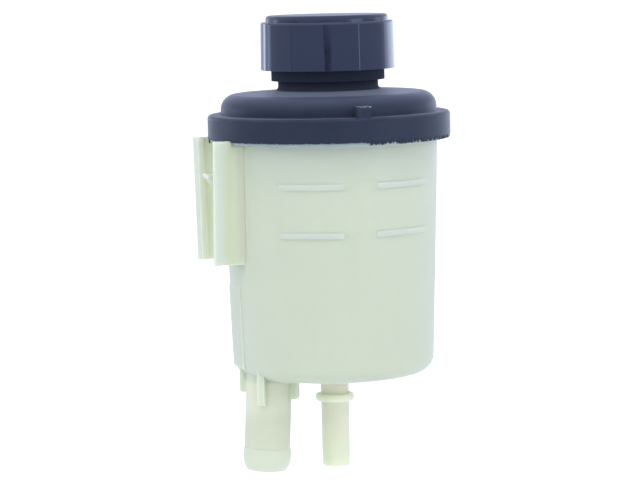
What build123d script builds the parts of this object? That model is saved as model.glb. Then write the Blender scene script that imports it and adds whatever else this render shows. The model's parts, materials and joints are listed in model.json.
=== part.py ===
from build123d import *
from math import cos, radians, sin, tan
import os

# Power steering reservoir: a moulded cup with a welded lid, a screw cap and a strainer.
# +Z runs up the cup's axis. The bracket rails face -X and the level marks face -Y.
# The origin is the centre of the lower face of the return nipple's stop collar.

# Return nipple, straight down from the middle of the floor
return_r = 5.35
return_wall = 1.75
return_length = 25.1
return_tip_chamfer = 0.5
return_drop = 8.4
stop_reach = 2.05
stop_thickness = 2.8
stop_round = 0.9

# Cup
wall = 2.4
cup_height = 90.4
cup_top_r = 40.97
cup_draft = 2.0
cup_corner_r = 6.3
weld_lip_reach = 4.23
weld_lip_thickness = 1.7
weld_lip_round = 0.5
weld_lip_fillet = 1.2

# Raised level marks, at these depths below the weld
mark_height = 2.0
mark_proud = 0.4
mark_depths = (34.7, 16.8)
mark_gap_angle = 18.5
mark_arc = 34.4

# Bracket rails: a channel with beveled lips that takes the upright plate of a bracket
rail_length = 46.3
rail_proud = 3.7
rail_half_width_low = 13.2
rail_half_width_high = 16.6
rail_side_wall = 2.0
rail_lip = 4.0
rail_lip_reach = 1.5
rail_bevel = 1.5
rail_slot = 4.4
rail_edge_round = 0.6

# Barb that locks the bracket plate, and the low rib that follows the cup under the rails
barb_depth = 13.0
barb_inset = 0.9
barb_tip = 1.2
barb_slope = 47.0
barb_width = 8.0
rib_low = 4.1
rib_gap = 8.6
rib_arc = 24.0
rib_proud = 0.4
rib_run_out = 2.0

# Supply nipple, leaning outward from the edge of the floor
supply_inset = 9.6
supply_bearing = 13.3
supply_lean = 3.4
supply_r = 8.65
supply_wall = 2.25
supply_length = 34.95
bead_proud = 0.4
bead_start = 26.3
bead_rise = 0.7
bead_land = 2.6
bead_round = 1.2
nose_draw = 1.45
nose_round = 1.3
gusset_thickness = 2.7
gusset_proud = 2.75
gusset_drops = (9.2, 5.5, 6.4, 7.9)
gusset_round = 1.2

# Seat of the strainer, round the return inlet
seat_wall = 2.6
seat_height = 5.0

# Lid
lid_wall = 2.4
flange_overhang = 0.7
flange_height = 8.5
flange_round = 1.4
ledge_width = 5.1
ledge_round = 0.5
dome_side = 1.4
dome_round = 5.7
dome_slope = 4.0
neck_r = 18.9
neck_foot_round = 1.6
neck_throat_round = 1.2
neck_lip_round = 0.6
tab_width = 5.0
tab_shift = 0.6
tab_reach = 4.5
tab_height = 4.1

# Screw cap
cap_clearance = 3.55
thread_gap = 1.3
barrel_wall = 1.2
barrel_drop = 4.1
grip_height = 18.0
grip_reach = 3.65
grip_spread = 0.3
grip_faces = 12
grip_bulge_r = 42.0
grip_edge_round = 0.9
grip_phase = 12.0
grip_top_round = 0.8
grip_wall = 2.2
cap_disc_reach = 1.7
cap_disc_rise = 2.4
cap_disc_round = 1.4
cap_top_wall = 2.6

# Cap gasket, vent disc and vent valve
face_gap = 0.1
slip = 0.05
gasket_thickness = 2.3
gasket_lap = 1.5
gasket_edge_gap = 0.2
disc_rim_height = 2.6
disc_thickness = 1.4
disc_rim_wall = 1.2
disc_edge_gap = 0.3
vent_hole_r = 0.9
vent_circle_r = 3.4
vent_holes = 4
valve_stem_r = 1.3
valve_flap_r = 5.6
valve_flap_thickness = 0.9
valve_knob_r = 2.0
valve_knob_height = 1.0
valve_knob_draft = 20.0

# Strainer
cage_gap = 1.1
cage_wall = 1.6
cage_height = 36.0
cage_base = 1.6
cage_top = 1.8
cage_ribs = 6
cage_rib_width = 2.6
cage_hoop = 1.6
collar_wall = 1.6
mesh_thickness = 0.4

# Radii that follow from the sizes
cup_floor_r = cup_top_r - cup_height * tan(radians(cup_draft))
weld_lip_r = cup_top_r + weld_lip_reach
flange_r = weld_lip_r + flange_overhang
dome_r = flange_r - ledge_width
neck_bore_r = neck_r - lid_wall
cap_thread_r = neck_r + thread_gap
cap_barrel_r = cap_thread_r + barrel_wall
grip_high_r = cap_barrel_r + grip_reach
grip_low_r = grip_high_r + grip_spread
cap_disc_r = cap_barrel_r + cap_disc_reach
gasket_inner_r = neck_bore_r - gasket_lap
return_bore_r = return_r - return_wall
seat_r = return_bore_r + seat_wall

# Levels above the origin that follow from the sizes
floor_z = stop_thickness + return_drop
chamber_z = floor_z + wall
weld_z = floor_z + cup_height
ledge_z = weld_z + flange_height
dome_edge_z = ledge_z + ledge_round + dome_side + dome_round * tan(radians(45 - dome_slope / 2))
neck_foot_z = dome_edge_z + (dome_r - neck_r) * tan(radians(dome_slope))
cap_bottom_z = neck_foot_z + cap_clearance
grip_bottom_z = cap_bottom_z + barrel_drop
grip_top_z = grip_bottom_z + grip_height
cap_top_z = grip_top_z + cap_disc_rise
ceiling_z = cap_top_z - cap_top_wall
gasket_z = ceiling_z - face_gap - gasket_thickness
neck_top_z = gasket_z - face_gap


def cup_radius(height):
    """Outer radius of the drafted wall at a height above the floor."""
    return cup_floor_r + height * tan(radians(cup_draft))


def rims(shape, radius, height):
    """Circular edges of this radius, level at this height."""
    return shape.edges().filter_by(GeomType.CIRCLE).filter_by(
        lambda edge: abs(edge.radius - radius) < 0.01 and abs(edge.center().Z - height) < 0.01
    )


def out_from_axis(angle):
    """Upright plane through the axis, its local X pointing out at this angle from +X."""
    across = radians(angle)
    return Plane((0, 0, 0), x_dir=(cos(across), sin(across), 0), z_dir=(sin(across), -cos(across), 0))


# Reservoir body
supply_turn = 180 + supply_bearing
supply_out = Vector(cos(radians(supply_turn)), sin(radians(supply_turn)), 0)
supply_down = supply_out * sin(radians(supply_lean)) - Vector(0, 0, 1) * cos(radians(supply_lean))
supply_foot = supply_out * (cup_floor_r - supply_inset) + Vector(0, 0, floor_z)
supply_across = supply_out * cos(radians(supply_lean)) + Vector(0, 0, 1) * sin(radians(supply_lean))
supply_section = Plane(supply_foot, x_dir=supply_across, z_dir=supply_across.cross(supply_down))
supply_axis = Axis(supply_foot, supply_down)
supply_bore_r = supply_r - supply_wall
bead_r = supply_r + bead_proud
nose_r = supply_r - nose_draw

rail_low = cup_height - rail_length
rail_face = flange_r + rail_proud
rail_root = (cup_radius(rail_low) ** 2 - rail_half_width_high ** 2) ** 0.5 - wall / 2
slot_front = rail_face - rail_lip
slot_back = slot_front - rail_slot


def rail_section(half_width):
    """Level section of both rails and the base between them: beveled lips in front of a slot."""
    slot_side = half_width - rail_side_wall
    lip_side = slot_side - rail_lip_reach
    with BuildSketch() as section:
        with BuildLine():
            Polyline(
                (-rail_root, 0),
                (-rail_root, half_width),
                (-rail_face, half_width),
                (rail_bevel - rail_face, lip_side),
                (-slot_front, lip_side),
                (-slot_front, slot_side),
                (-slot_back, slot_side),
                (-slot_back, 0),
            )
            mirror(about=Plane.XZ)
        make_face()
    return section.sketch


low_rail_section = rail_section(rail_half_width_low)
high_rail_section = rail_section(rail_half_width_high)

with BuildPart() as reservoir_body:
    # Rails, wider at the top, up to the level of the weld
    with BuildSketch(Plane.XY.offset(floor_z + rail_low)):
        add(low_rail_section)
    with BuildSketch(Plane.XY.offset(weld_z)):
        add(high_rail_section)
    loft(ruled=True)
    fillet(edges().filter_by_position(Axis.X, -rail_face, -rail_face), rail_edge_round)

    # Cup and the lip that the lid is welded to
    lip_under = cup_height - weld_lip_thickness
    with BuildSketch(Plane.XZ):
        with BuildLine():
            Polyline(
                (0, floor_z),
                (cup_floor_r, floor_z),
                (cup_radius(lip_under), floor_z + lip_under),
                (weld_lip_r, floor_z + lip_under),
                (weld_lip_r, weld_z),
                (0, weld_z),
                close=True,
            )
        make_face()
        fillet(vertices().sort_by_distance((cup_floor_r, floor_z))[0], cup_corner_r)
        fillet(vertices().sort_by_distance((cup_radius(lip_under), floor_z + lip_under))[0], weld_lip_fillet)
        fillet(vertices().sort_by_distance((weld_lip_r, floor_z + lip_under))[0], weld_lip_round)
    revolve(axis=Axis.Z)

    # Barb between the rails
    barb_top = cup_height - barb_depth
    barb_root = cup_radius(barb_top) - wall / 2
    barb_reach = rail_face - barb_inset
    with BuildSketch(Plane.XZ):
        with BuildLine():
            Polyline(
                (-barb_root, floor_z + barb_top),
                (-barb_reach, floor_z + barb_top),
                (-barb_reach, floor_z + barb_top - barb_tip),
                (-barb_root, floor_z + barb_top - barb_tip
                 - (barb_reach - barb_root) * tan(radians(barb_slope))),
                close=True,
            )
        make_face()
    extrude(amount=barb_width / 2, both=True)

    # Low rib under the rails
    rib_high = rail_low - rib_gap
    with BuildSketch(out_from_axis(180 - rib_arc / 2)):
        with BuildLine():
            Polyline(
                (cup_radius(rib_low) - wall / 2, floor_z + rib_low),
                (cup_radius(rib_low) + rib_proud, floor_z + rib_low),
                (cup_radius(rib_high - rib_run_out) + rib_proud, floor_z + rib_high - rib_run_out),
                (cup_radius(rib_high), floor_z + rib_high),
                (cup_radius(rib_high) - wall / 2, floor_z + rib_high),
                close=True,
            )
        make_face()
    revolve(axis=Axis.Z, revolution_arc=rib_arc)

    # Level marks, two bars in each row with a gap at the front
    for depth in mark_depths:
        mark_low = cup_height - depth - mark_height / 2
        mark_high = mark_low + mark_height
        for start in (-90 + mark_gap_angle / 2, -90 - mark_gap_angle / 2 - mark_arc):
            with BuildSketch(out_from_axis(start)):
                with BuildLine():
                    Polyline(
                        (cup_radius(mark_low) - wall / 2, floor_z + mark_low),
                        (cup_radius(mark_low) + mark_proud, floor_z + mark_low),
                        (cup_radius(mark_high) + mark_proud, floor_z + mark_high),
                        (cup_radius(mark_high) - wall / 2, floor_z + mark_high),
                        close=True,
                    )
                make_face()
            revolve(axis=Axis.Z, revolution_arc=mark_arc)

    # Return nipple with its stop collar
    with BuildSketch(Plane.XY.offset(-return_length)):
        Circle(return_r)
    nipple = extrude(amount=return_length + chamber_z)
    chamfer(rims(nipple, return_r, -return_length), return_tip_chamfer)
    stop_r = return_r + stop_reach
    with BuildSketch(Plane.XY):
        Circle(stop_r)
    stop = extrude(amount=stop_thickness)
    fillet(rims(stop, stop_r, 0) + rims(stop, stop_r, stop_thickness), stop_round)

    # Supply nipple: shank, hose bead and rounded nose
    shank_top = -cup_corner_r
    with BuildSketch(supply_section):
        with BuildLine():
            Polyline(
                (0, supply_length),
                (0, shank_top),
                (supply_r, shank_top),
                (supply_r, bead_start),
                (bead_r, bead_start + bead_rise),
                (bead_r, bead_start + bead_rise + bead_land),
            )
            TangentArc(
                (bead_r, bead_start + bead_rise + bead_land),
                (nose_r, supply_length),
                tangent=(0, 1),
            )
            Line((nose_r, supply_length), (0, supply_length))
        make_face()
        fillet(vertices().sort_by_distance((supply_r, bead_start))[0], bead_round)
        fillet(vertices().sort_by_distance((bead_r, bead_start + bead_rise))[0], bead_round)
        fillet(vertices().sort_by_distance((nose_r, supply_length))[0], nose_round)
    revolve(axis=supply_axis)

    # Gussets round the supply nipple
    for turn, drop in zip((45, -45, -135, 135), gusset_drops):
        with BuildSketch(Plane((supply_foot.X, supply_foot.Y, floor_z - drop))):
            Rectangle(
                supply_r + gusset_proud, gusset_thickness,
                rotation=supply_turn + turn, align=(Align.MIN, Align.CENTER),
            )
        extrude(amount=drop + cup_corner_r)
        lower_edges = edges(Select.LAST).group_by(Axis.Z)[0]
        fillet(lower_edges.sort_by_distance(supply_foot)[-1], gusset_round)

    # Chamber, and the bores of both nipples up into it
    chamber_top_r = cup_top_r - wall
    with BuildSketch(Plane.XZ):
        with BuildLine():
            Polyline(
                (0, chamber_z),
                (cup_radius(wall) - wall, chamber_z),
                (chamber_top_r, weld_z),
                (0, weld_z),
                close=True,
            )
        make_face()
        fillet(vertices().sort_by_distance((cup_radius(wall) - wall, chamber_z))[0], cup_corner_r - wall)
    revolve(axis=Axis.Z, mode=Mode.SUBTRACT)
    with BuildSketch(Plane.XY.offset(chamber_z)):
        Circle(seat_r)
    extrude(amount=seat_height)
    with BuildSketch(Plane.XY.offset(-return_length)):
        Circle(return_bore_r)
    extrude(amount=return_length + chamber_z + seat_height, mode=Mode.SUBTRACT)
    with BuildSketch(supply_section):
        with Locations((0, shank_top)):
            Rectangle(supply_bore_r, supply_length - shank_top, align=Align.MIN)
    revolve(axis=supply_axis, mode=Mode.SUBTRACT)

# Reservoir lid
jog_r = flange_r - lid_wall
inner_dome_r = dome_r - lid_wall
with BuildPart() as reservoir_lid:
    with BuildSketch(Plane.XZ):
        with BuildLine():
            Polyline(
                (jog_r, weld_z),
                (flange_r, weld_z),
                (flange_r, ledge_z),
                (dome_r, ledge_z),
                (dome_r, dome_edge_z),
                (neck_r, neck_foot_z),
                (neck_r, neck_top_z),
                (neck_bore_r, neck_top_z),
                (neck_bore_r, neck_foot_z - lid_wall),
                (inner_dome_r, dome_edge_z - lid_wall),
                (inner_dome_r, ledge_z - lid_wall),
                (jog_r, ledge_z - lid_wall),
                close=True,
            )
        make_face()
        corner_rounds = (
            ((flange_r, ledge_z), flange_round),
            ((dome_r, ledge_z), ledge_round),
            ((dome_r, dome_edge_z), dome_round),
            ((neck_r, neck_foot_z), neck_foot_round),
            ((neck_r, neck_top_z), neck_lip_round),
            ((neck_bore_r, neck_top_z), neck_lip_round),
            ((inner_dome_r, dome_edge_z - lid_wall), dome_round - lid_wall),
            ((neck_bore_r, neck_foot_z - lid_wall), neck_throat_round),
        )
        for corner, round_r in corner_rounds:
            fillet(vertices().sort_by_distance(corner)[0], round_r)
    revolve(axis=Axis.Z)
    # Index tab on the ledge, at the front
    with BuildSketch(Plane.XY.offset(ledge_z - lid_wall / 2)):
        with Locations((tab_shift, -dome_r + lid_wall / 2)):
            Rectangle(tab_width, tab_reach + lid_wall / 2, align=(Align.CENTER, Align.MAX))
    extrude(amount=tab_height + lid_wall / 2)

# Screw cap
face_angle = 360 / grip_faces


def face_middle(ridge_r):
    """Radius at the middle of a bulged face of the grip, from the radius of its ridges."""
    half_chord = ridge_r * sin(radians(face_angle / 2))
    chord_r = ridge_r * cos(radians(face_angle / 2))
    return chord_r + grip_bulge_r - (grip_bulge_r ** 2 - half_chord ** 2) ** 0.5


def grip_outline(ridge_r):
    """Outline of the grip: bulged faces that meet at rounded ridges."""
    with BuildSketch() as outline:
        with BuildLine():
            for face in range(grip_faces):
                ridge = radians(grip_phase - 90 + face * face_angle)
                middle = ridge + radians(face_angle / 2)
                next_ridge = ridge + radians(face_angle)
                ThreePointArc(
                    (ridge_r * cos(ridge), ridge_r * sin(ridge)),
                    (face_middle(ridge_r) * cos(middle), face_middle(ridge_r) * sin(middle)),
                    (ridge_r * cos(next_ridge), ridge_r * sin(next_ridge)),
                )
        make_face()
        fillet(outline.vertices(), grip_edge_round)
    return outline.sketch


grip_low_outline = grip_outline(grip_low_r)
grip_high_outline = grip_outline(grip_high_r)
with BuildPart() as filler_cap:
    with BuildSketch(Plane.XY.offset(grip_bottom_z)):
        add(grip_low_outline)
    with BuildSketch(Plane.XY.offset(grip_top_z)):
        add(grip_high_outline)
    loft(ruled=True)
    fillet(faces().sort_by(Axis.Z)[-1].edges(), grip_top_round)
    with BuildSketch(Plane.XY.offset(grip_top_z)):
        Circle(cap_disc_r)
    disc = extrude(amount=cap_disc_rise)
    fillet(rims(disc, cap_disc_r, cap_top_z), cap_disc_round)
    # Threaded barrel, with a moat between it and the grip
    with BuildSketch(Plane.XY.offset(grip_bottom_z)):
        Circle(face_middle(grip_high_r) - grip_wall)
        Circle(cap_barrel_r, mode=Mode.SUBTRACT)
    extrude(amount=grip_height - cap_top_wall, mode=Mode.SUBTRACT)
    with BuildSketch(Plane.XY.offset(cap_bottom_z)):
        Circle(cap_barrel_r)
    extrude(amount=barrel_drop)
    with BuildSketch(Plane.XY.offset(cap_bottom_z)):
        Circle(cap_thread_r)
    extrude(amount=ceiling_z - cap_bottom_z, mode=Mode.SUBTRACT)

# Cap gasket
with BuildPart() as cap_gasket:
    with BuildSketch(Plane.XY.offset(gasket_z)):
        Circle(cap_thread_r - gasket_edge_gap)
        Circle(gasket_inner_r, mode=Mode.SUBTRACT)
    extrude(amount=gasket_thickness)

# Vent disc, which holds the vent valve inside the gasket
disc_r = gasket_inner_r - disc_edge_gap
disc_bottom_z = ceiling_z - disc_rim_height
with BuildPart() as vent_disc:
    with BuildSketch(Plane.XY.offset(disc_bottom_z)):
        Circle(disc_r)
    extrude(amount=disc_rim_height)
    with BuildSketch(Plane.XY.offset(disc_bottom_z + disc_thickness)):
        Circle(disc_r - disc_rim_wall)
    extrude(amount=disc_rim_height - disc_thickness, mode=Mode.SUBTRACT)
    with BuildSketch(Plane.XY.offset(disc_bottom_z)):
        Circle(valve_stem_r + slip)
        with PolarLocations(vent_circle_r, vent_holes):
            Circle(vent_hole_r)
    extrude(amount=disc_thickness, mode=Mode.SUBTRACT)

# Vent valve: a flap under the vent holes, on a stem with a knob above the disc
with BuildPart() as vent_valve:
    with BuildSketch(Plane.XY.offset(disc_bottom_z - slip - valve_flap_thickness)):
        Circle(valve_flap_r)
    extrude(amount=valve_flap_thickness)
    with BuildSketch(Plane.XY.offset(disc_bottom_z - slip)):
        Circle(valve_stem_r)
    extrude(amount=disc_thickness + 2 * slip)
    with BuildSketch(Plane.XY.offset(disc_bottom_z + disc_thickness + slip)):
        Circle(valve_knob_r)
    extrude(amount=valve_knob_height, taper=valve_knob_draft)

# Strainer frame: a collar on the seat, a cage of ribs and a closed top
collar_r = seat_r + slip
mesh_r = collar_r + collar_wall + cage_gap + mesh_thickness
cage_r = mesh_r + slip + cage_wall
cage_z = chamber_z + face_gap
cage_top_z = cage_z + cage_height
window_height = cage_height - cage_base - cage_top - 2 * cage_hoop
with BuildPart() as strainer_frame:
    with BuildSketch(Plane.XY.offset(cage_z)):
        Circle(cage_r)
    extrude(amount=cage_height)
    with BuildSketch(Plane.XY.offset(cage_z + cage_base)):
        Circle(cage_r - cage_wall)
    extrude(amount=cage_height - cage_base - cage_top, mode=Mode.SUBTRACT)
    with BuildSketch(Plane.XY.offset(cage_z)):
        Circle(collar_r + collar_wall)
    extrude(amount=seat_height - face_gap)
    with BuildSketch(Plane.XY.offset(cage_z)):
        Circle(collar_r)
    extrude(amount=seat_height, mode=Mode.SUBTRACT)
    with BuildSketch(Plane.XY.offset(cage_z + cage_base + cage_hoop)):
        Circle(cage_r + cage_wall)
        Circle(cage_r - 2 * cage_wall, mode=Mode.SUBTRACT)
        with PolarLocations(cage_r - cage_wall / 2, cage_ribs):
            Rectangle(4 * cage_wall, cage_rib_width, mode=Mode.SUBTRACT)
    extrude(amount=window_height, mode=Mode.SUBTRACT)

# Strainer mesh: the sleeve of fine cloth inside the cage
with BuildPart() as strainer_mesh:
    with BuildSketch(Plane.XY.offset(cage_z + cage_base)):
        Circle(mesh_r)
        Circle(mesh_r - mesh_thickness, mode=Mode.SUBTRACT)
    extrude(amount=cage_height - cage_base - cage_top)

reservoir_body.part.label = "reservoir_body"
reservoir_lid.part.label = "reservoir_lid"
filler_cap.part.label = "filler_cap"
cap_gasket.part.label = "cap_gasket"
vent_disc.part.label = "vent_disc"
vent_valve.part.label = "vent_valve"
strainer_frame.part.label = "strainer_frame"
strainer_mesh.part.label = "strainer_mesh"

os.makedirs("parts", exist_ok=True)
export_step(reservoir_body.part, "parts/reservoir_body.step")
export_step(reservoir_lid.part, "parts/reservoir_lid.step")
export_step(filler_cap.part, "parts/filler_cap.step")
export_step(cap_gasket.part, "parts/cap_gasket.step")
export_step(vent_disc.part, "parts/vent_disc.step")
export_step(vent_valve.part, "parts/vent_valve.step")
export_step(strainer_frame.part, "parts/strainer_frame.step")
export_step(strainer_mesh.part, "parts/strainer_mesh.step")
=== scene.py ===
import json
from math import cos, pi, radians, sin, tan

import bmesh
import bpy
from mathutils import Matrix, Vector


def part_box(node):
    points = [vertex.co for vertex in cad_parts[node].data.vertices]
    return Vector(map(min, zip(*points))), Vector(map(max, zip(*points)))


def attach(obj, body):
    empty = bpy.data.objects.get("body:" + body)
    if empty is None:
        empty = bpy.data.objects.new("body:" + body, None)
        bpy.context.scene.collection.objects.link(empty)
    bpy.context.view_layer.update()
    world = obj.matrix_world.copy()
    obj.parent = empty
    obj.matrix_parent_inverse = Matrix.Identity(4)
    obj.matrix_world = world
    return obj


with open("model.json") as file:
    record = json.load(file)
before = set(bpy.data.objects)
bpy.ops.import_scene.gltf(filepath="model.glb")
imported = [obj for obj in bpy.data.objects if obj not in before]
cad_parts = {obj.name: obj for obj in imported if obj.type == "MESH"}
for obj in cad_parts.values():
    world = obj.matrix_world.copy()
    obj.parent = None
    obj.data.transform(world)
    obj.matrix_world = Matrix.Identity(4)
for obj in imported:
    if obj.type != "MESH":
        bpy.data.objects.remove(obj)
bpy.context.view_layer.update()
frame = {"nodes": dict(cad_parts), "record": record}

# Levels and radii of the lid, the neck and the cap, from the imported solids
LID_LOW, LID_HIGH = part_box("reservoir_lid")
CAP_LOW_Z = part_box("filler_cap")[0].z
WELD_Z = LID_LOW.z
NECK_TOP_Z = LID_HIGH.z
FLANGE_R = LID_HIGH.x
FLANGE_TOP_Z = WELD_Z + 0.0085
DOME_R = FLANGE_R - 0.0051
NECK_R = 0.0189
THREAD_BORE_R = 0.0202
TAB_TOP_Z = FLANGE_TOP_Z + 0.0041
TAB_TIP_Y = -0.0440
PARTING_X = 0.0006
GRIP_LOW_Z = CAP_LOW_Z + 0.0041
GRIP_HIGH_Z = GRIP_LOW_Z + 0.018
GRIP_RUB_AND_HIGHLIGHT_R = 0.0241

# Cup: the drafted wall's radius at z = 0 and its slope, the weld lip and the level marks
CUP_AXIS_R = 0.037422
CUP_SLOPE = tan(radians(2))
CUP_UNDERSIDE_Z = 0.0112
WELD_LIP_R = FLANGE_R - 0.0007
WELD_LIP_Z = WELD_Z - 0.0017
MARKS_TOP_Z = WELD_Z - 0.007
MARKS_FOOT_Z = 0.055

# Rails: how far out their parts stand, and half the width over both rails at z = 0 and its growth with z
RAIL_FOOT_Z = 0.054
RAIL_ROOT_X = -0.0405
RAIL_SLOT_X = -0.0434
RAIL_LIP_X = -0.0462
RAIL_AXIS_HALF_WIDTH = 0.00914
RAIL_FLARE = 3.4 / 46.3

# Slot of the rails: distances in from a rail's outer face between which its two painted lights come and go
CHANNEL_START, CHANNEL_END = (0.0030, 0.0038), (0.0075, 0.0062)
POCKET_START, POCKET_END = (0.0010, 0.0016), (0.0048, 0.0030)

# Return nipple and its collar
RETURN_R = 0.00535
COLLAR_R = 0.0074
COLLAR_TOP_Z = 0.0028

# Supply nipple: its bead, and where its axis passes z = 0 and how it leans with z
SUPPLY_BEAD_R = 0.00905
SUPPLY_X = -0.02809
SUPPLY_Y = -0.00664
SUPPLY_LEAN_X = 0.0578
SUPPLY_LEAN_Y = 0.01366

# Levels between which one painted tone of the milky plastic turns into the next: painted shade high on the
# wall, painted light on the nipples
WALL_SHADE_LEVELS = 0.080, 0.094
SUPPLY_SHANK_LEVELS = 0.002, -0.005
SUPPLY_NOSE_LEVELS = -0.012, -0.021
RETURN_END_LEVELS = -0.010, -0.024

# Screw thread between neck and cap: two starts, right-handed
THREAD_STARTS = 2
THREAD_LEAD = 0.006
THREAD_PITCH = THREAD_LEAD / THREAD_STARTS
THREAD_DEPTH = 0.0008
THREAD_ROOT_WIDTH = 0.0017
THREAD_CREST_WIDTH = 0.0008
THREAD_SINK = 0.0002
THREAD_STEPS = 90
THREAD_RUN_OUT = 0.05
NECK_THREAD_Z = NECK_TOP_Z - 0.0132
NECK_THREAD_TURNS = 1.8
CAP_THREAD_Z = CAP_LOW_Z + 0.0016
CAP_THREAD_TURNS = 2.3

# Weld flash squeezed out between lid and cup
FLASH_R = WELD_LIP_R + 0.0001
FLASH_THICK = 0.0008
FLASH_DROP = 0.0012
FLASH_TOOTH = 0.001

# Filter cloth of the strainer
CLOTH_WARP_THREADS = 120
CLOTH_WEFT_PITCH = 0.0005

# Camera: height, distance from the axis, and the turns that put the object where it is in the picture
CAMERA_AZIMUTH = radians(-16)
CAMERA_DISTANCE = 1.0508
CAMERA_HEIGHT = 0.1701
CAMERA_PAN = radians(0.239)
CAMERA_PITCH = radians(-5.9)
CAMERA_ROLL = radians(-1.3)
FOCAL_PIXELS = 2780
PICTURE_PIXELS = 640
SENSOR_WIDTH = 36

# Colours of the milky plastic; the top colour is painted shade under the lid, the nipple colours painted
# light, the rail colours and the colour beside the rails painted light and shade, and the lip colour painted
# shade
BODY_PALE = (0.60, 0.668, 0.572)
BODY_DEEP = (0.572, 0.638, 0.532)
BODY_SHADE_UNDER_LID = (0.55, 0.622, 0.542)
MARK_PALE = (0.56, 0.632, 0.575)
SUPPLY_ROOT_LIT = (0.69, 0.745, 0.60)
SUPPLY_SHANK_LIT = (0.615, 0.66, 0.545)
SUPPLY_NOSE_LIT = (0.65, 0.71, 0.61)
RETURN_ROOT_LIT = (0.93, 1.0, 0.68)
RETURN_SHANK_LIT = (0.815, 0.97, 0.67)
RETURN_END_LIT = (0.75, 0.88, 0.64)
COLLAR_LIT = (0.80, 0.89, 0.69)
RAIL_ROOT_SHADE = (0.61, 0.66, 0.54)
RAIL_WARM_SHADE = (0.58, 0.63, 0.485)
RAIL_PALE_LIGHT = (0.60, 0.66, 0.615)
RAIL_SLOT_LIGHT = (0.72, 0.77, 0.65)
RAIL_POCKET_LIGHT = (0.77, 0.81, 0.68)
CREASE_LIGHT = (0.66, 0.70, 0.57)
LIP_BLUE_SHADE = (0.28, 0.35, 0.395)

# How deep red, green and blue light go in the milky plastic
MILKY_DEPTH = (0.0040, 0.0047, 0.0036)

# Extra roughness of the cap's barrel and top
BARREL_DULL = 0.8
TOP_DULL = 0.18

# Colours of the dark mouldings; the dome and cap top colours are painted highlights, the flange and grip edge
# colours rubbed edges that are also painted highlights, the glint a painted glint, and the shade under the
# grip painted shade
LID_BASE = (0.0145, 0.018, 0.034)
LID_DARK = (0.011, 0.014, 0.028)
LID_DOME_HIGHLIGHT = (0.048, 0.057, 0.098)
LID_WORN_AND_HIGHLIGHT = (0.045, 0.052, 0.085)
CAP_BASE = (0.0125, 0.0145, 0.034)
CAP_DARK = (0.010, 0.012, 0.030)
CAP_TOP_HIGHLIGHT = (0.020, 0.021, 0.045)
CAP_WORN_AND_HIGHLIGHT = (0.12, 0.13, 0.19)
UNDER_GRIP_SHADE = (0.011, 0.0135, 0.029)
GLINT = (0.3, 0.33, 0.42)
GLOSS_TINT = (0.66, 0.78, 1.0, 1.0)
SHEEN_TINT = (0.66, 0.76, 1.0, 1.0)

# Colours of the small pieces, each a pair between which the surface varies, and of the dirt in the cloth
SEAL_RUBBER = (0.012, 0.012, 0.013), (0.03, 0.03, 0.031)
VALVE_RUBBER = (0.20, 0.05, 0.02), (0.26, 0.08, 0.04)
VENT_PLASTIC = (0.62, 0.62, 0.55), (0.7, 0.7, 0.62)
STRAINER_PLASTIC = (0.5, 0.52, 0.44), (0.6, 0.62, 0.52)
CLOTH_THREAD = (0.32, 0.31, 0.24), (0.66, 0.66, 0.56)
CLOTH_SOIL = (0.45, 0.4, 0.28)

# Studio
FLOOR_Z = -0.09
FLOOR_REACH = 30.0
AMBIENT = 0.775
FLOOR_LIFT = 0.55
FLOOR_WHITE = (0.9, 0.9, 0.9)
GLOSSY_FLOOR = (0.5, 0.57, 0.75)
GLOSSY_SKY = (0.70, 0.78, 1.0, 1.0)
CARD_DISTANCE = 1.3
CARD_STEPS = 8

# Dark card that the middle of the cap mirrors: azimuths in degrees and levels
SLIT_OUTLINE = [
    (-24, 0.168), (-34, 0.150), (-34, 0.125), (-28, 0.105), (-4, 0.100),
    (-2, 0.118), (-1, 0.130), (-4, 0.143), (-11, 0.153), (-16, 0.168),
]
SLIT_RADIANCE = 0.03

# Upright cards: first and last azimuth in degrees, lowest and highest level, radiance, fade in degrees
CARDS = {
    "card_left": (-92, -68, 0.05, 0.22, 0.5, 4),
    "strip_right": (27, 53, 0.05, 0.22, 4.4, 3),
    "strip_rim_left": (-168, -158, 0.0, 0.3, 3.1, 3.5),
    "strip_left": (-136, -121, 0.0, 0.3, 3.6, 6),
    "strip_edge_right": (82, 107, 0.0, 0.3, 2.2, 8),
    "strip_rim_right": (110, 165, 0.0, 0.3, 2.4, 16),
}

# Lamps: azimuth and elevation in degrees, distance, size and watts
LAMP_AIM_Z = 0.06
LAMPS = {
    "lamp_above": (0, 62, 1.3, 0.9, 6),
    "lamp_left": (-70, 30, 1.4, 0.9, 4),
    "lamp_right": (45, 25, 1.4, 0.9, 3.2),
}


class Graph:
    """Adds nodes to a tree. An input is given by name or number, as a socket to join or a plain value."""

    def __init__(self, tree):
        self.tree = tree

    def node(self, kind, inputs=(), **settings):
        made = self.tree.nodes.new(kind)
        for name, value in settings.items():
            setattr(made, name, value)
        for key, value in dict(inputs).items():
            self.feed(made.inputs[key], value)
        return made

    def feed(self, socket, value):
        if isinstance(value, bpy.types.NodeSocket):
            self.tree.links.new(value, socket)
        else:
            socket.default_value = value

    def math(self, operation, *values):
        return self.node("ShaderNodeMath", enumerate(values), operation=operation).outputs[0]

    def product(self, first, *others):
        for other in others:
            first = self.math("MULTIPLY", first, other)
        return first

    def distance(self, along_x, along_y):
        squares = self.math("ADD", self.math("POWER", along_x, 2.0), self.math("POWER", along_y, 2.0))
        return self.math("SQRT", squares)

    def ramp(self, value, start, end, low=0.0, high=1.0):
        """A smooth step from low to high while value goes from start to end."""
        inputs = {"Value": value, "From Min": start, "From Max": end, "To Min": low, "To Max": high}
        return self.node("ShaderNodeMapRange", inputs, interpolation_type="SMOOTHSTEP").outputs[0]

    def band(self, value, centre, half_width, edge):
        """1 within half_width of centre, falling to 0 over edge."""
        away = self.math("ABSOLUTE", self.math("SUBTRACT", value, centre))
        return self.ramp(away, half_width, half_width + edge, 1.0, 0.0)


# Finishes


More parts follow.
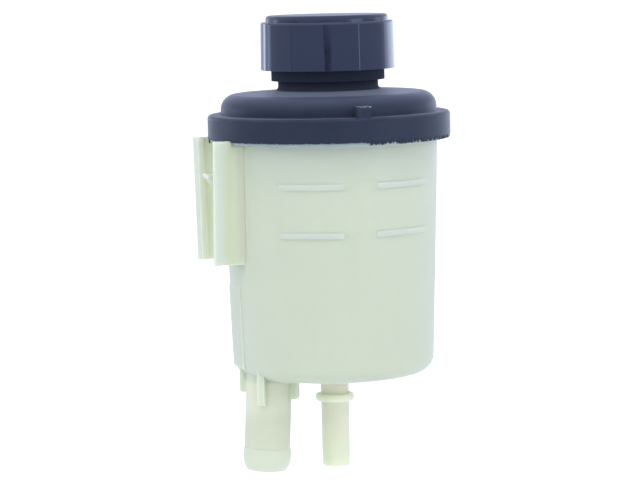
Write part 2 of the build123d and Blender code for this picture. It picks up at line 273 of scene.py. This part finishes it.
class Finish(Graph):
    """A Principled material on object coordinates, with the surface's place split into usual measures."""

    def __init__(self, name):
        self.material = bpy.data.materials.new(name)
        self.material.use_nodes = True
        super().__init__(self.material.node_tree)
        self.shader = self.tree.nodes["Principled BSDF"]
        self.place = self.node("ShaderNodeTexCoord").outputs["Object"]
        split = self.node("ShaderNodeSeparateXYZ", {0: self.place})
        self.x, self.y, self.z = split.outputs
        self.radius = self.distance(self.x, self.y)

    def noise(self, size, detail=2.0, stretch=(1, 1, 1), roughness=0.5):
        """Soft noise from 0 to 1 with features about size metres across."""
        spread = self.node("ShaderNodeVectorMath", {0: self.place, 1: stretch}, operation="MULTIPLY")
        inputs = {"Vector": spread.outputs[0], "Scale": 1 / size, "Detail": detail, "Roughness": roughness}
        return self.node("ShaderNodeTexNoise", inputs).outputs["Fac"]

    def tint(self, share, colour_a, colour_b):
        """Mixes two colours, each a socket or an RGB triple."""
        pick = [c if isinstance(c, bpy.types.NodeSocket) else (*c, 1.0) for c in (colour_a, colour_b)]
        inputs = {0: share, 6: pick[0], 7: pick[1]}
        return self.node("ShaderNodeMix", inputs, data_type="RGBA").outputs[2]

    def bump(self, *layers):
        """Stacks bumps, each a height from 0 to 1 and its real depth in metres."""
        normal = None
        for height, depth in layers:
            inputs = {"Height": height, "Distance": depth, "Strength": 1.0}
            if normal:
                inputs["Normal"] = normal
            normal = self.node("ShaderNodeBump", inputs).outputs[0]
        self.feed(self.shader.inputs["Normal"], normal)

    def set(self, **values):
        for name, value in values.items():
            if name == "base_color" and not isinstance(value, bpy.types.NodeSocket):
                value = (*value, 1.0)
            self.feed(self.shader.inputs[name.replace("_", " ").title().replace("Ior", "IOR")], value)
        return self.material


def wall_tone_and_painted_shade(cup):
    """Clouds and upright streaks on the wall, and painted shade close under the lid."""
    clouds = cup.noise(0.03, detail=3.0)
    streaks = cup.noise(0.004, stretch=(1, 1, 0.08))
    share = cup.math("ADD", cup.math("MULTIPLY", clouds, 0.7), cup.math("MULTIPLY", streaks, 0.3))
    colour = cup.tint(share, BODY_PALE, BODY_DEEP)
    # Painted shade: the wall turns greyer close under the lid, where the flange shades it
    return cup.tint(cup.ramp(cup.z, *WALL_SHADE_LEVELS), colour, BODY_SHADE_UNDER_LID)


def marks_tone(cup, colour, proud):
    """Bluish faces of the raised level marks."""
    marks = cup.product(
        cup.ramp(proud, 0.0001, 0.0003), cup.ramp(cup.z, MARKS_TOP_Z, MARKS_TOP_Z - 0.001),
        cup.ramp(cup.z, MARKS_FOOT_Z, MARKS_FOOT_Z + 0.005),
    )
    return cup.tint(marks, colour, MARK_PALE)


def nipples_painted_light(cup, colour):
    """Painted light on the nipples under the floor: yellower and paler than the cup, standing in for light
    that passes through them, and lighter at their roots against the cup's shadow.
    """
    below = cup.ramp(cup.z, CUP_UNDERSIDE_Z, CUP_UNDERSIDE_Z - 0.0016)
    from_axis_x = cup.math("MULTIPLY_ADD", cup.z, -SUPPLY_LEAN_X, cup.math("SUBTRACT", cup.x, SUPPLY_X))
    from_axis_y = cup.math("MULTIPLY_ADD", cup.z, -SUPPLY_LEAN_Y, cup.math("SUBTRACT", cup.y, SUPPLY_Y))
    supply_r = cup.distance(from_axis_x, from_axis_y)
    # Painted light: the supply nipple is lighter at its root, against the cup's shadow
    supply = cup.tint(cup.ramp(cup.z, *SUPPLY_SHANK_LEVELS), SUPPLY_ROOT_LIT, SUPPLY_SHANK_LIT)
    supply = cup.tint(cup.ramp(cup.z, *SUPPLY_NOSE_LEVELS), supply, SUPPLY_NOSE_LIT)
    near_supply = cup.ramp(supply_r, SUPPLY_BEAD_R + 0.00085, SUPPLY_BEAD_R + 0.00015)
    colour = cup.tint(cup.product(below, near_supply), colour, supply)
    # Painted light: the return nipple and its collar, lightest just under the cup
    outlet = cup.tint(cup.ramp(cup.z, *RETURN_END_LEVELS), RETURN_SHANK_LIT, RETURN_END_LIT)
    outlet = cup.tint(cup.ramp(cup.z, COLLAR_TOP_Z - 0.0006, COLLAR_TOP_Z + 0.0006), outlet, RETURN_ROOT_LIT)
    collar = cup.product(
        cup.ramp(cup.radius, RETURN_R + 0.00025, RETURN_R + 0.00105),
        cup.ramp(cup.z, COLLAR_TOP_Z + 0.001, COLLAR_TOP_Z + 0.0002),
    )
    outlet = cup.tint(collar, outlet, COLLAR_LIT)
    near_outlet = cup.ramp(cup.radius, COLLAR_R + 0.0021, COLLAR_R + 0.0011)
    return cup.tint(cup.product(below, near_outlet), colour, outlet)


def rails_painted_light_and_shade(cup, colour, proud):
    """Painted warm shade where the rails join the wall, painted bluish edge light towards their lips, and
    painted light in the shaded slot behind the lips.
    """
    # Painted warm shade where the rails join the wall
    root_shade = cup.product(
        cup.ramp(proud, 0.0, 0.0012), cup.ramp(cup.x, -0.033, -0.035),
        cup.ramp(cup.z, RAIL_FOOT_Z - 0.002, RAIL_FOOT_Z + 0.001),
    )
    colour = cup.tint(root_shade, colour, RAIL_ROOT_SHADE)
    # Painted warm shade across the rails, then painted bluish edge light towards their lips
    colour = cup.tint(cup.ramp(cup.x, RAIL_ROOT_X, RAIL_SLOT_X, 0.0, 0.85), colour, RAIL_WARM_SHADE)
    colour = cup.tint(cup.ramp(cup.x, RAIL_SLOT_X, RAIL_LIP_X, 0.0, 0.95), colour, RAIL_PALE_LIGHT)
    half_width = cup.math("MULTIPLY_ADD", cup.z, RAIL_FLARE, RAIL_AXIS_HALF_WIDTH)
    inside = cup.math("SUBTRACT", half_width, cup.math("ABSOLUTE", cup.y))
    # Painted light on the wall along the join beside the near rail, against its shade
    crease_light = cup.product(
        cup.band(inside, -0.0001, 0.0004, 0.0012), cup.ramp(cup.x, -0.030, -0.032),
        cup.ramp(cup.x, RAIL_ROOT_X + 0.001, RAIL_ROOT_X + 0.003),
        cup.ramp(cup.z, RAIL_FOOT_Z, RAIL_FOOT_Z + 0.002),
    )
    colour = cup.tint(crease_light, colour, CREASE_LIGHT)
    # Painted light in the shaded slot behind the lips, and more deeper under the lip
    outside_wall = cup.ramp(cup.x, RAIL_ROOT_X + 0.001, RAIL_ROOT_X)
    slot_light = cup.product(cup.ramp(inside, *CHANNEL_START), outside_wall, cup.ramp(inside, *CHANNEL_END))
    colour = cup.tint(slot_light, colour, RAIL_SLOT_LIGHT)
    pocket_light = cup.product(
        cup.ramp(inside, *POCKET_START), outside_wall,
        cup.ramp(cup.x, RAIL_LIP_X - 0.0002, RAIL_LIP_X + 0.0002), cup.ramp(inside, *POCKET_END),
    )
    return cup.tint(pocket_light, colour, RAIL_POCKET_LIGHT)


def weld_lip_painted_shade(cup, colour):
    """Painted bluish shade on the weld lip, in the shadow of the dark flange."""
    # Painted shade: the weld lip under the flange
    lip = cup.product(
        cup.ramp(cup.z, WELD_LIP_Z - 0.0006, WELD_LIP_Z + 0.0002, 0.0, 0.95),
        cup.ramp(cup.radius, WELD_LIP_R + 0.0001, WELD_LIP_R + 0.0004, 1.0, 0.0),
    )
    return cup.tint(lip, colour, LIP_BLUE_SHADE)


def milky_plastic(name):
    """Natural translucent moulding, with a slightly other tone on its marks, painted shade high on the wall
    and on the weld lip, and painted light and shade on its nipples and rails.
    """
    cup = Finish(name)
    proud = cup.math("SUBTRACT", cup.radius, cup.math("MULTIPLY_ADD", cup.z, CUP_SLOPE, CUP_AXIS_R))
    colour = wall_tone_and_painted_shade(cup)
    colour = marks_tone(cup, colour, proud)
    colour = nipples_painted_light(cup, colour)
    colour = rails_painted_light_and_shade(cup, colour, proud)
    colour = weld_lip_painted_shade(cup, colour)
    scuffs = cup.noise(0.0012, detail=4.0, roughness=0.7)
    cup.bump((cup.noise(0.006), 0.00003), (cup.noise(0.0005), 0.000003))
    cup.shader.subsurface_method = "RANDOM_WALK"
    return cup.set(
        base_color=colour, roughness=cup.ramp(scuffs, 0.3, 0.8, 0.28, 0.38), ior=1.5,
        subsurface_weight=1.0, subsurface_radius=MILKY_DEPTH, subsurface_scale=1.0,
    )


def lid_moulding(name):
    """Matt dark moulding: fine grain, a painted highlight on the dome, a rubbed flange edge that is also a
    painted highlight, painted shade on the neck, a parting line and painted glints on the tab's edge."""
    lid = Finish(name)
    grain = lid.noise(0.00022)
    patches = lid.noise(0.012, detail=4.0, roughness=0.6)
    colour = lid.tint(lid.ramp(patches, 0.3, 0.7), LID_DARK, LID_BASE)
    # Painted highlight: the dome is lighter above the flange
    bloom = lid.product(
        lid.ramp(lid.z, FLANGE_TOP_Z + 0.002, FLANGE_TOP_Z + 0.0085), lid.ramp(patches, 0.2, 0.6, 0.8, 1.0),
    )
    colour = lid.tint(bloom, colour, LID_DOME_HIGHLIGHT)
    # Rubbed flange edge, also a painted highlight along the flange's top edge
    worn_and_highlight = lid.product(
        lid.band(lid.radius, FLANGE_R - 0.0006, 0.0004, 0.0005),
        lid.band(lid.z, FLANGE_TOP_Z - 0.0004, 0.0003, 0.0005),
        lid.ramp(lid.noise(0.006), 0.2, 0.7, 0.05, 0.35),
    )
    colour = lid.tint(worn_and_highlight, colour, LID_WORN_AND_HIGHLIGHT)
    # Painted shade on the neck under the cap's grip; the same mask makes the neck rougher
    shaded_neck = lid.ramp(lid.radius, NECK_R + 0.0015, NECK_R + 0.0005)
    colour = lid.tint(lid.product(shaded_neck, 0.7), colour, UNDER_GRIP_SHADE)
    parting = lid.product(
        lid.band(lid.x, PARTING_X, 0.00004, 0.00014), lid.ramp(lid.radius, DOME_R - 0.002, DOME_R),
    )
    colour = lid.tint(lid.product(parting, 0.6), colour, LID_DARK)
    glints = lid.product(
        lid.band(lid.z, TAB_TOP_Z, 0.0002, 0.0003), lid.ramp(lid.y, TAB_TIP_Y, TAB_TIP_Y - 0.0004),
        lid.ramp(lid.noise(0.0008), 0.5, 0.62),
    )
    colour = lid.tint(glints, colour, GLINT)
    lid.bump((patches, 0.00004), (parting, 0.00008), (grain, 0.000006))
    satin = lid.ramp(patches, 0.25, 0.75, 0.40, 0.48)
    return lid.set(
        base_color=colour, roughness=lid.math("MULTIPLY_ADD", shaded_neck, 0.45, satin), ior=1.5,
        specular_tint=GLOSS_TINT, sheen_weight=0.5, sheen_roughness=0.25, sheen_tint=SHEEN_TINT,
    )


def cap_moulding(name):
    """Glossy dark moulding, rubbed along the grip's top edge with a painted highlight, a duller top painted
    lighter as a highlight, and a dull barrel in painted shade.
    """
    cap = Finish(name)
    patches = cap.noise(0.02)
    scratches = cap.noise(0.0015, detail=4.0, stretch=(1, 1, 0.15), roughness=0.7)
    colour = cap.tint(patches, CAP_DARK, CAP_BASE)
    # Rubbed grip edge, also a painted highlight along the grip's top edge
    edge = cap.product(
        cap.band(cap.z, GRIP_HIGH_Z - 0.0004, 0.0003, 0.0004),
        cap.ramp(cap.radius, GRIP_RUB_AND_HIGHLIGHT_R - 0.0005, GRIP_RUB_AND_HIGHLIGHT_R), 0.2,
    )
    colour = cap.tint(edge, colour, CAP_WORN_AND_HIGHLIGHT)
    # Painted shade on the barrel under the grip's overhang; the same mask makes the barrel duller
    barrel = cap.ramp(cap.z, GRIP_LOW_Z + 0.0002, GRIP_LOW_Z - 0.0002)
    colour = cap.tint(cap.product(barrel, 0.8), colour, UNDER_GRIP_SHADE)
    # Painted highlight: the cap's top is lighter; the same mask makes it duller
    top = cap.ramp(cap.z, GRIP_HIGH_Z - 0.0001, GRIP_HIGH_Z + 0.0003)
    colour = cap.tint(top, colour, CAP_TOP_HIGHLIGHT)
    dull = cap.math("MAXIMUM", cap.product(barrel, BARREL_DULL), cap.product(top, TOP_DULL))
    gloss = cap.ramp(scratches, 0.3, 0.75, 0.06, 0.10)
    cap.bump((patches, 0.00003), (cap.noise(0.0003), 0.000002))
    return cap.set(
        base_color=colour, roughness=cap.math("ADD", gloss, dull), ior=1.5, specular_ior_level=0.75,
        specular_tint=GLOSS_TINT,
    )


def rubber(name, colour_a, colour_b):
    """Soft moulded rubber with bloom and a fine tooth."""
    part = Finish(name)
    bloom = part.noise(0.004, detail=4.0, roughness=0.65)
    part.bump((part.noise(0.0002), 0.000008))
    return part.set(
        base_color=part.tint(part.ramp(bloom, 0.35, 0.75), colour_a, colour_b),
        roughness=part.ramp(bloom, 0.3, 0.8, 0.6, 0.8),
    )


def natural_plastic(name, colour_a, colour_b):
    """Small natural mouldings inside the reservoir."""
    part = Finish(name)
    clouds = part.noise(0.006, detail=3.0)
    part.bump((clouds, 0.00003), (part.noise(0.0003), 0.000005))
    return part.set(
        base_color=part.tint(clouds, colour_a, colour_b), roughness=part.ramp(clouds, 0.3, 0.7, 0.38, 0.5),
        subsurface_weight=0.3, subsurface_radius=(0.001, 0.001, 0.0008), subsurface_scale=1.0,
    )


def filter_cloth(name):
    """Plain weave of fine threads running round and along the sleeve."""
    cloth = Finish(name)
    turn = cloth.math("ARCTAN2", cloth.y, cloth.x)
    warp = cloth.math("SINE", cloth.product(turn, CLOTH_WARP_THREADS))
    weft = cloth.math("SINE", cloth.product(cloth.z, 2 * pi / CLOTH_WEFT_PITCH))
    weave = cloth.math("MULTIPLY_ADD", cloth.product(warp, weft), 0.5, 0.5)
    soil = cloth.noise(0.004, detail=3.0)
    cloth.bump((weave, 0.00012))
    colour = cloth.tint(cloth.ramp(weave, 0.1, 0.9), *CLOTH_THREAD)
    return cloth.set(base_color=cloth.tint(cloth.product(soil, 0.4), colour, CLOTH_SOIL), roughness=0.75)


finishes = {
    "body_plastic": milky_plastic("body_plastic_finish"),
    "lid_plastic": lid_moulding("lid_plastic_finish"),
    "cap_plastic": cap_moulding("cap_plastic_finish"),
    "seal_rubber": rubber("seal_rubber_finish", *SEAL_RUBBER),
    "valve_rubber": rubber("valve_rubber_finish", *VALVE_RUBBER),
    "vent_plastic": natural_plastic("vent_plastic_finish", *VENT_PLASTIC),
    "strainer_plastic": natural_plastic("strainer_plastic_finish", *STRAINER_PLASTIC),
    "strainer_cloth": filter_cloth("strainer_cloth_finish"),
}
for subpart in frame["record"]["subparts"]:
    node = frame["nodes"][subpart["node"]]
    node.data.materials.clear()
    node.data.materials.append(finishes[subpart["material_slot"]])


# Pieces made by geometry nodes


def new_tree(name, sizes):
    """A geometry tree with named inputs for its sizes, and its graph."""
    tree = bpy.data.node_groups.new(name, "GeometryNodeTree")
    for label, value in sizes.items():
        kind = "NodeSocketInt" if isinstance(value, int) else "NodeSocketFloat"
        socket = tree.interface.new_socket(label, in_out="INPUT", socket_type=kind)
        socket.default_value = value
    tree.interface.new_socket("Geometry", in_out="OUTPUT", socket_type="NodeSocketGeometry")
    graph = Graph(tree)
    graph.sizes = graph.node("NodeGroupInput").outputs
    return graph


def end_tree(graph, geometry, finish):
    """Realizes the instances, sets the finish and ends the tree."""
    whole = graph.node("GeometryNodeRealizeInstances", {0: geometry}).outputs[0]
    painted = graph.node("GeometryNodeSetMaterial", {0: whole, "Material": finish}).outputs[0]
    graph.node("NodeGroupOutput", {0: painted})


def bake(name, graph, sizes, body):
    """Runs the tree and keeps its result as a plain mesh that rides on a body."""
    carrier = bpy.data.objects.new(name, bpy.data.meshes.new(name + "_start"))
    bpy.context.scene.collection.objects.link(carrier)
    modifier = carrier.modifiers.new(name, "NODES")
    modifier.node_group = graph.tree
    for item in graph.tree.interface.items_tree:
        if item.in_out == "INPUT":
            modifier[item.identifier] = sizes[item.name]
    shape = carrier.evaluated_get(bpy.context.evaluated_depsgraph_get())
    mesh = bpy.data.meshes.new_from_object(shape)
    carrier.modifiers.clear()
    mesh.name = name
    outward = bmesh.new()
    outward.from_mesh(mesh)
    bmesh.ops.recalc_face_normals(outward, faces=outward.faces)
    outward.to_mesh(mesh)
    outward.free()
    mesh.shade_smooth()
    carrier.data = mesh
    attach(carrier, body)


def thread_tree(name, sizes, finish):
    """Helical ridges of trapezoid section, one for each start, that run out at both ends."""
    graph = new_tree(name, sizes)
    size = graph.sizes
    height = graph.product(size["Lead"], size["Turns"])
    helix = graph.node(
        "GeometryNodeCurveSpiral",
        {"Resolution": THREAD_STEPS, "Rotations": size["Turns"], "Start Radius": size["Path radius"],
         "End Radius": size["Path radius"], "Height": height},
    ).outputs[0]
    helix = graph.node("GeometryNodeSetCurveNormal", {0: helix}, mode="Z_UP").outputs[0]
    along = graph.node("GeometryNodeSplineParameter").outputs["Factor"]
    from_end = graph.math("MINIMUM", along, graph.math("SUBTRACT", 1.0, along))
    swell = graph.ramp(from_end, 0.0, THREAD_RUN_OUT, 0.05, 1.0)
    helix = graph.node("GeometryNodeSetCurveRadius", {0: helix, "Radius": swell}).outputs[0]
    section = graph.node(
        "GeometryNodeCurvePrimitiveQuadrilateral",
        {"Height": size["Depth"], "Bottom Width": size["Root width"], "Top Width": size["Crest width"],
         "Offset": 0.0},
        mode="TRAPEZOID",
    ).outputs[0]
    shift = graph.node("ShaderNodeCombineXYZ", {"X": size["Shift"]}).outputs[0]
    turn = graph.node("ShaderNodeCombineXYZ", {"Z": size["Section turn"]}).outputs[0]
    section = graph.node(
        "GeometryNodeTransform", {0: section, "Translation": shift, "Rotation": turn},
    ).outputs[0]
    ridge = graph.node(
        "GeometryNodeCurveToMesh", {"Curve": helix, "Profile Curve": section, "Fill Caps": True},
    ).outputs[0]
    starts = graph.node(
        "GeometryNodeMeshLine", {"Count": size["Starts"], "Start Location": (0, 0, 0), "Offset": (0, 0, 0)},
    ).outputs[0]
    which = graph.node("GeometryNodeInputIndex").outputs[0]
    start_turn = graph.math("DIVIDE", graph.product(which, 2 * pi), size["Starts"])
    spin = graph.node("ShaderNodeCombineXYZ", {"Z": start_turn}).outputs[0]
    lift = graph.node("ShaderNodeCombineXYZ", {"Z": size["Low level"]}).outputs[0]
    ridges = graph.node(
        "GeometryNodeInstanceOnPoints", {"Points": starts, "Instance": ridge, "Rotation": spin},
    ).outputs[0]
    ridges = graph.node("GeometryNodeTransform", {0: ridges, "Translation": lift}).outputs[0]
    end_tree(graph, ridges, finish)
    return graph


def make_thread(name, body, slot, wall_r, outward, low_level, turns):
    """Thread ridges on a wall, pointing away from the axis or towards it."""
    depth = THREAD_DEPTH + THREAD_SINK
    sizes = {
        "Path radius": wall_r,
        "Lead": THREAD_LEAD,
        "Turns": turns,
        "Starts": THREAD_STARTS,
        "Depth": depth,
        "Root width": THREAD_ROOT_WIDTH,
        "Crest width": THREAD_CREST_WIDTH,
        "Shift": outward * (depth / 2 - THREAD_SINK),
        "Section turn": -outward * pi / 2,
        "Low level": low_level,
    }
    graph = thread_tree(name + "_tree", sizes, finishes[slot])
    bake(name, graph, sizes, body)


def flash_tree(name, sizes, finish):
    """A thin bead round the weld whose lower edge is ragged, most so right of the tab and at two lumps."""
    graph = new_tree(name, sizes)
    size = graph.sizes
    ring = graph.node(
        "GeometryNodeCurvePrimitiveCircle", {"Resolution": size["Steps"], "Radius": size["Radius"]},
        mode="RADIUS",
    ).outputs[0]
    ring = graph.node("GeometryNodeSetCurveNormal", {0: ring}, mode="Z_UP").outputs[0]
    section = graph.node(
        "GeometryNodeCurvePrimitiveCircle",
        {"Resolution": 10, "Radius": graph.math("DIVIDE", size["Thickness"], 2.0)},
        mode="RADIUS",
    ).outputs[0]
    bead = graph.node("GeometryNodeCurveToMesh", {"Curve": ring, "Profile Curve": section}).outputs[0]
    place = graph.node("GeometryNodeInputPosition").outputs[0]
    split = graph.node("ShaderNodeSeparateXYZ", {0: place})
    angle = graph.math("ARCTAN2", split.outputs[1], split.outputs[0])
    ragged = graph.product(
        graph.ramp(angle, size["Ragged from"], graph.math("ADD", size["Ragged from"], 0.03)),
        graph.ramp(angle, size["Ragged to"], graph.math("ADD", size["Ragged to"], 0.2), 1.0, 0.0),
    )
    ragged = graph.math("MAXIMUM", ragged, size["Calm share"])
    for label in ("Lump one", "Lump two"):
        away = graph.math("ABSOLUTE", graph.math("SUBTRACT", angle, size[label]))
        ragged = graph.math("MAXIMUM", ragged, graph.ramp(away, 0.02, 0.06, 1.6, 0.0))
    teeth = graph.node(
        "ShaderNodeTexNoise",
        {"Vector": place, "W": size["Seed"], "Scale": 1 / FLASH_TOOTH, "Detail": 2.0, "Roughness": 0.6},
        noise_dimensions="4D",
    ).outputs[0]
    under = graph.ramp(
        split.outputs[2], graph.math("DIVIDE", size["Thickness"], 3.0),
        graph.math("DIVIDE", size["Thickness"], -2.0),
    )
    drop = graph.product(graph.ramp(teeth, 0.42, 0.56), ragged, graph.product(under, size["Drop"]))
    level = graph.math("SUBTRACT", size["Level"], drop)
    offset = graph.node("ShaderNodeCombineXYZ", {"Z": level}).outputs[0]
    bead = graph.node("GeometryNodeSetPosition", {0: bead, "Offset": offset}).outputs[0]
    end_tree(graph, bead, finish)
    return graph


flash_sizes = {
    "Radius": FLASH_R,
    "Thickness": FLASH_THICK,
    "Drop": FLASH_DROP,
    "Level": WELD_Z,
    "Steps": 1600,
    "Ragged from": radians(-89.0),
    "Ragged to": radians(-20.0),
    "Calm share": 0.15,
    "Lump one": radians(-163.0),
    "Lump two": radians(165.0),
    "Seed": 3.0,
}
weld_flash_tree = flash_tree("weld_flash_tree", flash_sizes, finishes["lid_plastic"])
bake("weld_flash", weld_flash_tree, flash_sizes, "reservoir")
make_thread("neck_thread", "reservoir", "lid_plastic", NECK_R, 1, NECK_THREAD_Z, NECK_THREAD_TURNS)

# The cap's ridges lie halfway between those of the neck
pitches_down = round((NECK_THREAD_Z - CAP_THREAD_Z) / THREAD_PITCH + 0.5) - 0.5
make_thread("cap_thread", "cap", "cap_plastic", THREAD_BORE_R, -1,
            NECK_THREAD_Z - pitches_down * THREAD_PITCH, CAP_THREAD_TURNS)


# Studio


def seen_directly(graph):
    """1 for rays from the camera, off a gloss or through glass, and 0 for rays that light the object."""
    path = graph.node("ShaderNodeLightPath").outputs
    either = graph.math("MAXIMUM", path["Is Camera Ray"], path["Is Glossy Ray"])
    return graph.math("MAXIMUM", either, path["Is Transmission Ray"])


def pale_world():
    """White behind the object, a little cooler off a gloss, and an even light on it."""
    world = bpy.data.worlds.new("pale_world")
    world.use_nodes = True
    bpy.context.scene.world = world
    graph = Graph(world.node_tree)
    glossy = graph.node("ShaderNodeLightPath").outputs["Is Glossy Ray"]
    strength = graph.ramp(seen_directly(graph), 0.0, 1.0, AMBIENT, 1.0)
    sky = {0: glossy, 6: (1.0, 1.0, 1.0, 1.0), 7: GLOSSY_SKY}
    background = world.node_tree.nodes["Background"]
    graph.feed(background.inputs["Color"], graph.node("ShaderNodeMix", sky, data_type="RGBA").outputs[2])
    graph.feed(background.inputs["Strength"], strength)


def pale_floor():
    """Plain floor below the nipples, white where nothing shades it."""
    mesh = bpy.data.meshes.new("floor")
    corners = [(x * FLOOR_REACH, y * FLOOR_REACH, FLOOR_Z) for x, y in ((-1, -1), (1, -1), (1, 1), (-1, 1))]
    mesh.from_pydata(corners, [], [(0, 1, 2, 3)])
    floor = bpy.data.objects.new("floor", mesh)
    bpy.context.scene.collection.objects.link(floor)
    paint = Finish("floor_finish")
    glossy = paint.node("ShaderNodeLightPath").outputs["Is Glossy Ray"]
    colour = paint.tint(glossy, FLOOR_WHITE, GLOSSY_FLOOR)
    paint.set(
        base_color=colour, roughness=0.9, specular_ior_level=0.0, emission_color=colour,
        emission_strength=paint.product(seen_directly(paint), FLOOR_LIFT),
    )
    mesh.materials.append(paint.material)


def reflected_card(name, outline, radiance, fade=0.1):
    """Card round the object that only glosses see. The outline is pairs of azimuth in degrees and level in
    metres, and over the last degrees to either side the card fades into the sky."""
    turns = [radians(azimuth) for azimuth, level in outline]
    levels = [level for azimuth, level in outline]
    corners = [(sin(a) * CARD_DISTANCE, -cos(a) * CARD_DISTANCE, level) for a, level in zip(turns, levels)]
    mesh = bpy.data.meshes.new(name)
    mesh.from_pydata(corners, [], [tuple(range(len(corners)))])
    card = bpy.data.objects.new(name, mesh)
    bpy.context.scene.collection.objects.link(card)
    paint = Finish(name + "_finish")
    middle, half = (max(turns) + min(turns)) / 2, (max(turns) - min(turns)) / 2
    turn = paint.math("ARCTAN2", paint.x, paint.product(paint.y, -1.0))
    away = paint.math("ABSOLUTE", paint.math("SUBTRACT", turn, middle))
    paint.set(
        base_color=(0.0, 0.0, 0.0), specular_ior_level=0.0, emission_color=GLOSSY_SKY,
        emission_strength=paint.ramp(away, half - radians(fade), half, radiance, 1.0),
    )
    mesh.materials.append(paint.material)
    card.visible_camera = False
    card.visible_diffuse = False
    card.visible_shadow = False


def upright(first, last, low, high):
    """Outline of a card between two azimuths, in steps that follow the circle."""
    steps = [first + (last - first) * i / CARD_STEPS for i in range(CARD_STEPS + 1)]
    return [(a, low) for a in steps] + [(a, high) for a in reversed(steps)]


def soft_lamp(name, azimuth, elevation, distance, size, watts):
    """Square area lamp that looks at the middle of the cup, and isn't seen in its gloss."""
    middle = Vector((0.0, 0.0, LAMP_AIM_Z))
    a, e = radians(azimuth), radians(elevation)
    out = Vector((sin(a) * cos(e), -cos(a) * cos(e), sin(e)))
    lamp = bpy.data.lights.new(name, "AREA")
    lamp.shape = "SQUARE"
    lamp.size = size
    lamp.energy = watts
    holder = bpy.data.objects.new(name, lamp)
    facing = out.to_track_quat("Z", "Y").to_matrix().to_4x4()
    holder.matrix_world = Matrix.Translation(middle + out * distance) @ facing
    holder.visible_glossy = False
    bpy.context.scene.collection.objects.link(holder)


def picture_camera():
    """Camera at the photograph's angle."""
    camera = bpy.data.cameras.new("camera")
    camera.sensor_width = SENSOR_WIDTH
    camera.lens = FOCAL_PIXELS / PICTURE_PIXELS * SENSOR_WIDTH
    camera.clip_start = 0.01
    holder = bpy.data.objects.new("camera", camera)
    stand = Vector((sin(CAMERA_AZIMUTH), -cos(CAMERA_AZIMUTH), 0)) * CAMERA_DISTANCE
    stand.z = CAMERA_HEIGHT
    holder.matrix_world = (
        Matrix.Translation(stand)
        @ Matrix.Rotation(CAMERA_AZIMUTH + CAMERA_PAN, 4, "Z")
        @ Matrix.Rotation(pi / 2 + CAMERA_PITCH, 4, "X")
        @ Matrix.Rotation(CAMERA_ROLL, 4, "Z")
    )
    bpy.context.scene.collection.objects.link(holder)
    bpy.context.scene.camera = holder


bpy.context.scene.view_settings.view_transform = "Standard"
pale_world()
pale_floor()
reflected_card("slit_card", SLIT_OUTLINE, SLIT_RADIANCE)
for name, (first, last, low, high, radiance, fade) in CARDS.items():
    reflected_card(name, upright(first, last, low, high), radiance, fade)
for name, placing in LAMPS.items():
    soft_lamp(name, *placing)
picture_camera()
